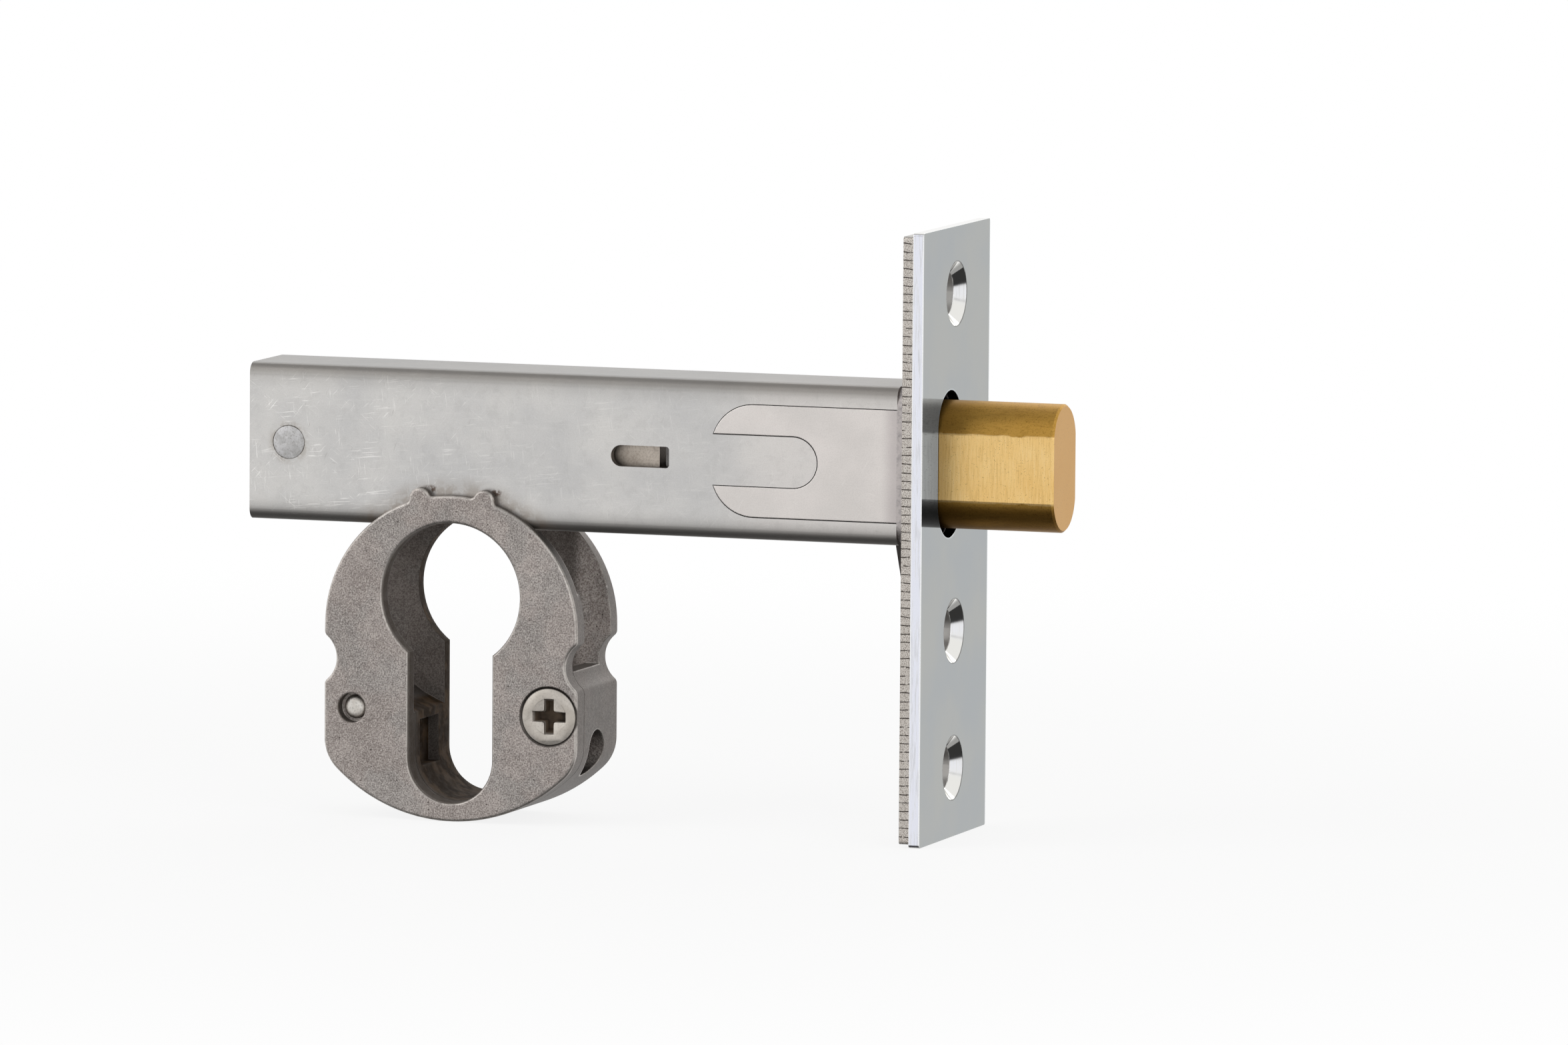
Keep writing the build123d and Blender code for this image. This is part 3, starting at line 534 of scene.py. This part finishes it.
plated = ("housing_pin", "forend_rivet")
hammered = ("rear_rivet",)
for finish_name, fixings, dark, light, rounding in (
    ("nickel_plate", plated, shade(206, 200, 192), shade(236, 232, 226), 0.6),
    ("hammered_rivet", hammered, shade(184, 183, 182), shade(212, 211, 212), 0.3),
):
    nickel_finish, shader, place = start_finish(finish_name)[:3]
    fine = grain(place, 3800.0, 3.0, 0.7)
    cloud = grain(place, 900.0, 3.0, 0.6)
    metal = cloud.over(0.3, 0.7).tint(dark, light)
    metal = (fine.over(0.50, 0.34) * 0.45).tint(metal, shade(134, 129, 124))
    metal = (fine.over(0.56, 0.74) * 0.35).tint(metal, shade(232, 230, 228))
    rounded = soft_edges(place, 0.00010)[0]
    flatter = (rounding, 1.0, rounding)
    pressed = rounded.node("ShaderNodeVectorMath", {"operation": "MULTIPLY"}, {0: rounded, 1: flatter})
    rounded = pressed.node("ShaderNodeVectorMath", {"operation": "NORMALIZE"}, {0: pressed})
    surface(shader, metal, 0.36 + fine * 0.12, fine * 0.7 + cloud * 1.5, 0.000014, rounded)
    for part in fixings:
        dress(part, nickel_finish)


# The clamp screw: a countersunk steel screw, nickel plated, that draws the two housings together.
# Its cross recess is punched, so the inner corners flare and the walls lean; oil and painted shade darken
# it.

screw_low, screw_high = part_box("housing_screw")
screw_along = (screw_low.x + screw_high.x) / 2.0
screw_up = (screw_low.z + screw_high.z) / 2.0
screw_face = screw_low.y
screw_length = screw_high.y - screw_low.y
head_radius = 0.00342
shank_radius = 0.0018
recess_half_width = 0.00074
recess_reach = 0.00185
recess_depth = 0.0016
recess_corner = 0.00035
recess_narrowing = 0.62
head_edge = 0.0002
point_length = 0.0005
point_narrowing = 0.72
worn_edge = 0.00007
turned_ring = 0.00213


def select_faces(piece, chosen):
    """Selects the faces whose middle and direction the test accepts, and nothing else."""
    bpy.ops.object.mode_set(mode="OBJECT")
    for corner in piece.data.vertices:
        corner.select = False
    for side in piece.data.edges:
        side.select = False
    for patch in piece.data.polygons:
        patch.select = chosen(patch.center, patch.normal)
    bpy.ops.object.mode_set(mode="EDIT")


def place_mesh(piece):
    """Puts a piece's place in its mesh, so that its object sits at the origin."""
    bpy.ops.object.mode_set(mode="OBJECT")
    bpy.ops.object.select_all(action="DESELECT")
    piece.select_set(True)
    bpy.context.view_layer.objects.active = piece
    bpy.ops.object.transform_apply(location=True, rotation=True, scale=True)


bpy.ops.object.select_all(action="DESELECT")
bpy.ops.mesh.primitive_cylinder_add(
    vertices=96, radius=head_radius, depth=head_edge,
    location=(screw_along, screw_face + head_edge / 2.0, screw_up), rotation=(math.radians(90), 0.0, 0.0),
)
screw = bpy.context.object
screw.name = "clamp_screw"
place_mesh(screw)
bpy.ops.object.mode_set(mode="EDIT")
bpy.ops.mesh.select_mode(type="FACE")
cone = head_radius - shank_radius
lengths = (
    (cone, shank_radius / head_radius),
    (screw_length - head_edge - cone - point_length, 1.0),
    (point_length, point_narrowing),
)
for length, narrowing in lengths:
    select_faces(screw, lambda middle, way: way.y > 0.9)
    bpy.ops.mesh.extrude_region_move(TRANSFORM_OT_translate={"value": (0.0, length, 0.0)})
    bpy.ops.transform.resize(
        value=(narrowing, 1.0, narrowing),
        center_override=(screw_along, 0.0, screw_up),
    )
bpy.ops.object.mode_set(mode="OBJECT")

bpy.ops.object.select_all(action="DESELECT")
bpy.ops.mesh.primitive_cube_add(size=1.0, location=(screw_along, screw_face, screw_up))
punch = bpy.context.object
punch.scale = (2 * recess_half_width, 2 * recess_depth, 2 * recess_half_width)
place_mesh(punch)
bpy.ops.object.mode_set(mode="EDIT")
bpy.ops.mesh.select_mode(type="FACE")
for reach_along, reach_up in ((1, 0), (-1, 0), (0, 1), (0, -1)):
    select_faces(punch, lambda middle, way: way.x * reach_along + way.z * reach_up > 0.9
                 and abs(middle.x - screw_along) + abs(middle.z - screw_up) < 2 * recess_half_width)
    bpy.ops.mesh.extrude_region_move(TRANSFORM_OT_translate={
        "value": (reach_along * recess_reach, 0.0, reach_up * recess_reach),
    })
bpy.ops.object.mode_set(mode="OBJECT")
for side in punch.data.edges:
    ends = [punch.data.vertices[i].co for i in side.vertices]
    upright = abs(ends[0].y - ends[1].y) > recess_depth
    inner = all(
        abs(abs(end.x - screw_along) - recess_half_width) < 0.00001
        and abs(abs(end.z - screw_up) - recess_half_width) < 0.00001
        for end in ends
    )
    side.select = upright and inner
for corner in punch.data.vertices:
    corner.select = False
for patch in punch.data.polygons:
    patch.select = False
bpy.ops.object.mode_set(mode="EDIT")
bpy.ops.mesh.select_mode(type="EDGE")
bpy.ops.mesh.bevel(offset=recess_corner, segments=3, affect="EDGES")
bpy.ops.mesh.select_mode(type="FACE")
select_faces(punch, lambda middle, way: way.y > 0.9)
bpy.ops.transform.resize(
    value=(recess_narrowing, 1.0, recess_narrowing),
    center_override=(screw_along, 0.0, screw_up),
)
bpy.ops.object.mode_set(mode="OBJECT")

bpy.ops.object.select_all(action="DESELECT")
screw.select_set(True)
bpy.context.view_layer.objects.active = screw
recess = screw.modifiers.new("recess", "BOOLEAN")
recess.operation = "DIFFERENCE"
recess.solver = "EXACT"
recess.object = punch
bpy.ops.object.modifier_apply(modifier="recess")
bpy.data.objects.remove(punch)
worn = screw.modifiers.new("worn", "BEVEL")
worn.limit_method = "ANGLE"
worn.angle_limit = math.radians(35)
worn.width = worn_edge
worn.segments = 2
worn.use_clamp_overlap = True
bpy.ops.object.modifier_apply(modifier="worn")
bpy.ops.object.shade_smooth_by_angle(angle=math.radians(35))

screw_finish, shader, place, (along, across, up) = start_finish("turned_nickel_head")
beside = along - screw_along
above = up - screw_up
from_axis = (beside * beside + above * above).math("SQRT")
rings = (from_axis * 9000.0 + grain(place, 500.0, 2.0) * 1.5).math("SINE")
one_ring = (from_axis - turned_ring).math("ABSOLUTE").over(0.00007, 0.00002)
one_ring = one_ring * grain(place, 900.0, 2.0).over(0.40, 0.55)
fine = grain(place, 4200.0, 3.0, 0.7)
cloud = grain(place, 420.0, 2.0, 0.5)
depth_in = (across - screw_face).over(0.00008, 0.0007)
rim_shade = from_axis.over(head_radius - 0.00016, head_radius - 0.00004)
metal = cloud.over(0.3, 0.7).tint(shade(186, 179, 170), shade(206, 200, 192))
metal = (fine.over(0.52, 0.34) * 0.35).tint(metal, shade(156, 148, 140))
metal = (one_ring * 0.35).tint(metal, shade(128, 120, 112))
# Oil and painted shade darken the cross recess.
metal = (depth_in * 0.95).tint(metal, cloud.over(0.42, 0.62).tint(shade(44, 34, 24), shade(92, 76, 60)))
# Painted shade: a dark ring at the head's rim.
metal = (rim_shade * 0.85).tint(metal, shade(40, 34, 30))
height = fine * 0.5 + rings * 0.15 - one_ring * 0.6
dull = 0.30 + fine * 0.12 + depth_in * 0.3
surface(shader, metal, dull, height, 0.000006, metallic=1.0 - depth_in * 0.9)
screw.data.materials.append(screw_finish)
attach(screw, "lock_body")
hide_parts("housing_screw")


# The studio: a pale floor that fades to white, a white room, and two large soft lamps with a weak
# third one behind. The metal mirrors the room alone, through the floor: white all round, dark
# steeply below and for a band high in front, and a soft grey overhead.

floor_level = cad_low.z
bpy.ops.object.select_all(action="DESELECT")
bpy.ops.mesh.primitive_plane_add(size=8.0, location=(0.0, 0.0, floor_level - 0.00005))
floor = bpy.context.object
floor.name = "floor"
floor.visible_glossy = False
floor_paint = bpy.data.materials.new("pale_floor")
floor_paint.use_nodes = True
tree = floor_paint.node_tree
place = Field(tree.nodes.new("ShaderNodeTexCoord").outputs["Object"])
far = place.node("ShaderNodeVectorMath", {"operation": "LENGTH"}, {0: place}, output=1).over(0.08, 0.30)
rays = tree.nodes.new("ShaderNodeLightPath")
seen = Field(rays.outputs["Is Camera Ray"]).math("MAXIMUM", Field(rays.outputs["Is Transmission Ray"]))
tree.nodes["Principled BSDF"].inputs["Base Color"].default_value = shade(240, 240, 239)
tree.nodes["Principled BSDF"].inputs["Roughness"].default_value = 0.9
glow = place.node("ShaderNodeEmission", {}, {"Color": (1.0, 1.0, 1.0, 1.0), "Strength": 1.0})
paint = Field(tree.nodes["Principled BSDF"].outputs[0])
share = seen * (0.86 + far * 0.14)
mixed = place.node("ShaderNodeMixShader", {}, {0: share, 1: paint, 2: glow})
tree.links.new(mixed.socket, tree.nodes["Material Output"].inputs["Surface"])
floor.data.materials.append(floor_paint)

room = bpy.data.worlds.new("white_room")
room.use_nodes = True
bpy.context.scene.world = room
tree = room.node_tree
rays = tree.nodes.new("ShaderNodeLightPath")
glossy = Field(rays.outputs["Is Glossy Ray"])
seen = Field(rays.outputs["Is Camera Ray"]).math("MAXIMUM", glossy)
seen = seen.math("MAXIMUM", Field(rays.outputs["Is Transmission Ray"]))
view = Field(tree.nodes.new("ShaderNodeTexCoord").outputs["Generated"])
ray = [view.node("ShaderNodeSeparateXYZ", {}, {"Vector": view}, output=i) for i in range(3)]
ceiling = ray[2].over(0.70, 0.90) * glossy
high_in_front = ray[1].over(-0.15, -0.35) * ray[2].over(0.22, 0.34) * ray[2].over(0.84, 0.72) * glossy
below = ray[2].over(-0.30, -0.42) * ray[1].over(0.08, -0.04)
beyond = ray[2].over(-0.35, -0.50) * ray[1].over(0.46, 0.38) * ray[0].over(0.22, 0.34)
underfoot = ray[2].over(-0.50, -0.70) * 0.62
below = below.math("MAXIMUM", beyond).math("MAXIMUM", underfoot) * glossy
level = seen.tint((0.50, 0.50, 0.50, 1.0), (1.0, 1.0, 1.0, 1.0))
level = ceiling.tint(level, (0.60, 0.60, 0.60, 1.0))
level = high_in_front.tint(level, (0.12, 0.12, 0.12, 1.0))
level = below.tint(level, (0.04, 0.04, 0.04, 1.0))
tree.links.new(level.socket, tree.nodes["Background"].inputs["Color"])
tree.nodes["Background"].inputs["Strength"].default_value = 1.0
lamp_aim = Vector((0.015, 0.0, 0.005))


def softbox(name, spot, side, power):
    """A square soft lamp of this side in metres, aimed at the middle of the lock."""
    bpy.ops.object.light_add(type="AREA", location=spot)
    lamp = bpy.context.object
    lamp.name = name
    lamp.data.size = side
    lamp.data.energy = power
    lamp.rotation_euler = (lamp_aim - Vector(spot)).to_track_quat("-Z", "Y").to_euler()


softbox("softbox_left", (-0.55, -0.55, 0.50), 0.7, 2.6)
softbox("softbox_right", (0.60, -0.45, 0.40), 0.5, 1.1)
softbox("softbox_back", (0.10, 0.70, 0.55), 0.6, 1.2)


# The camera stands where the photograph was taken: far off, a little right of square and a
# little above the lock.

azimuth = math.radians(18.921)
elevation = math.radians(5.906)
roll = math.radians(0.4163)
camera_distance = 1.6737
target = Vector((0.03937, 0.0, 0.009721))
outward = Vector((
    math.sin(azimuth) * math.cos(elevation),
    -math.cos(azimuth) * math.cos(elevation),
    math.sin(elevation),
))
right = (-outward).cross(Vector((0.0, 0.0, 1.0))).normalized()
upward = right.cross(-outward)
across_view = right * math.cos(roll) + upward * math.sin(roll)
up_view = upward * math.cos(roll) - right * math.sin(roll)
bpy.ops.object.camera_add(location=target + outward * camera_distance)
camera = bpy.context.object
camera.name = "camera"
camera.data.sensor_width = 36.0
camera.data.lens = 324.587
camera.data.clip_end = 20.0
turn = camera.matrix_world.copy()
for column, axis in enumerate((across_view, up_view, outward)):
    for row in range(3):
        turn[row][column] = axis[row]
camera.matrix_world = turn
bpy.context.scene.camera = camera
bpy.context.scene.view_settings.view_transform = "Standard"
